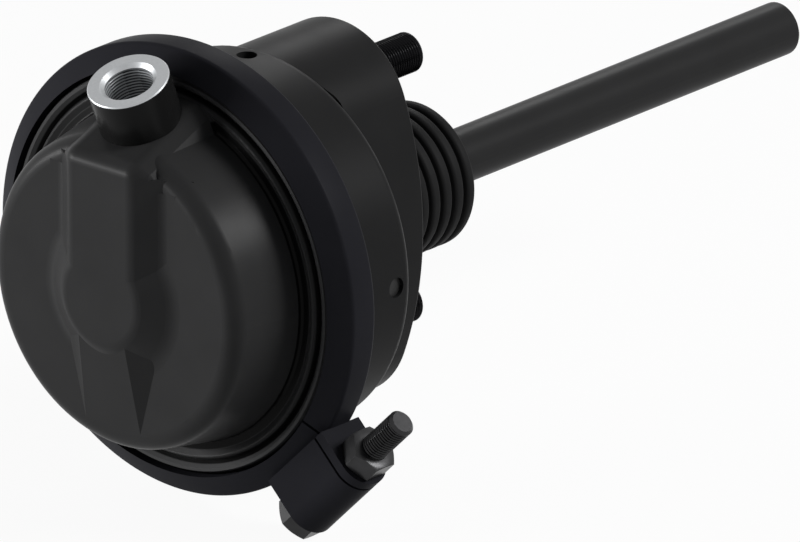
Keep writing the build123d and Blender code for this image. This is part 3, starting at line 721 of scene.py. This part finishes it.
dress(cover_paint, "pressure_cover")
dress(housing_paint, "spring_housing")
dress(clamp_paint, "clamp_lug", "clamp_ear")
dress(bracket_paint, "mounting_bracket", "stud_plate", "bellows_retainer")
dress(rod_paint, "push_rod", "push_plate", "rod_collar")
dress(plug_plastic, "vent_plug_right", "vent_plug_left")
dress(spring_metal, "spring_seat")
dress(guide_plastic, "rod_guide")
inlet_boss()
studs()
clamp_bolt()
clamp_nut()
clamp_ring()
bellows()
diaphragm()
return_spring()


# ---------------------------------------------------------------- floor, light and camera

def camera():
    """Long lens at the photograph's viewing angle."""
    azimuth, elevation = math.radians(41.3), math.radians(20.8)
    frame_width = 228.4 * MM
    look_right, look_down = 17.05 * MM, 19.16 * MM
    data = bpy.data.cameras.new("camera")
    data.sensor_width = 36.0
    data.lens = 1150.0
    data.clip_start, data.clip_end = 0.1, 100.0
    right = Vector((math.cos(azimuth), math.sin(azimuth), 0))
    up = Vector((-math.sin(azimuth) * math.sin(elevation), math.cos(azimuth) * math.sin(elevation),
                 math.cos(elevation)))
    towards_camera = right.cross(up)
    look_at = right * look_right - up * look_down
    distance = frame_width * data.lens / data.sensor_width
    eye = bpy.data.objects.new("camera", data)
    eye.matrix_world = axis_frame(look_at + towards_camera * distance, towards_camera, right)
    bpy.context.scene.collection.objects.link(eye)
    bpy.context.scene.camera = eye


def lamp(name, place, target, width, height, power):
    """Soft rectangular lamp that looks at a target."""
    data = bpy.data.lights.new(name, "AREA")
    data.shape = "RECTANGLE"
    data.size, data.size_y = width, height
    data.energy = power
    light = bpy.data.objects.new(name, data)
    light.location = place
    light.rotation_euler = (Vector(target) - Vector(place)).to_track_quat("-Z", "Y").to_euler()
    bpy.context.scene.collection.objects.link(light)


def seen_directly(tree):
    """1 for camera, mirror and glass rays, 0 for the rest."""
    rays = tree.nodes.new("ShaderNodeLightPath")
    seen = rays.outputs["Is Camera Ray"]
    for other in ("Is Glossy Ray", "Is Transmission Ray"):
        either = tree.nodes.new("ShaderNodeMath")
        either.operation = "MAXIMUM"
        tree.links.new(seen, either.inputs[0])
        tree.links.new(rays.outputs[other], either.inputs[1])
        seen = either.outputs["Value"]
    return seen


def mix_shaders(tree, share, first, second, output):
    """Send a share of the second shader and the rest of the first to the surface of an output node."""
    mix = tree.nodes.new("ShaderNodeMixShader")
    tree.links.new(share, mix.inputs["Fac"])
    tree.links.new(first, mix.inputs[1])
    tree.links.new(second, mix.inputs[2])
    tree.links.new(mix.outputs["Shader"], tree.nodes[output].inputs["Surface"])


def floor():
    """Pale floor under the lowest point of the object; it keeps a share of the object's shadow."""
    half, own_light = 6.0, 0.94
    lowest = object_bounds()[0][2]
    bm = bmesh.new()
    bm.faces.new([bm.verts.new((x * half, y * half, lowest))
                  for x, y in ((-1, -1), (1, -1), (1, 1), (-1, 1))])
    ground = add_mesh("floor", bm)
    material, tree, shader = new_material("floor_pale")
    shader.inputs["Base Color"].default_value = (0.6, 0.6, 0.6, 1)
    shader.inputs["Roughness"].default_value = 0.9
    shader.inputs["Specular IOR Level"].default_value = 0.0
    glow = tree.nodes.new("ShaderNodeEmission")
    share = arithmetic(tree, "MULTIPLY", seen_directly(tree), own_light)
    mix_shaders(tree, share, shader.outputs["BSDF"], glow.outputs["Emission"], "Material Output")
    ground.data.materials.append(material)
    ground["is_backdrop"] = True


def world():
    """Even pale surroundings, white where the camera sees them."""
    surroundings = bpy.data.worlds.new("studio")
    bpy.context.scene.world = surroundings
    surroundings.use_nodes = True
    tree = surroundings.node_tree
    lit = tree.nodes["Background"]
    lit.inputs["Color"].default_value = (0.75, 0.77, 0.8, 1)
    lit.inputs["Strength"].default_value = 0.25
    white = tree.nodes.new("ShaderNodeBackground")
    white.inputs["Color"].default_value = (0.96, 0.96, 0.96, 1)
    mix_shaders(tree, seen_directly(tree), lit.outputs["Background"], white.outputs["Background"],
                "World Output")


camera()
floor()
world()
lamp("key", (-1.0, -1.05, 0.10), (0, -0.06, 0), 1.0, 0.3, 28)
lamp("rear_right", (1.05, 0.6, 0.86), (0, -0.05, 0), 0.5, 0.5, 23)
lamp("rear_left", (-0.7, 1.1, 0.8), (0, 0.05, 0), 0.4, 0.4, 3.0)
bpy.context.scene.view_settings.view_transform = "Standard"
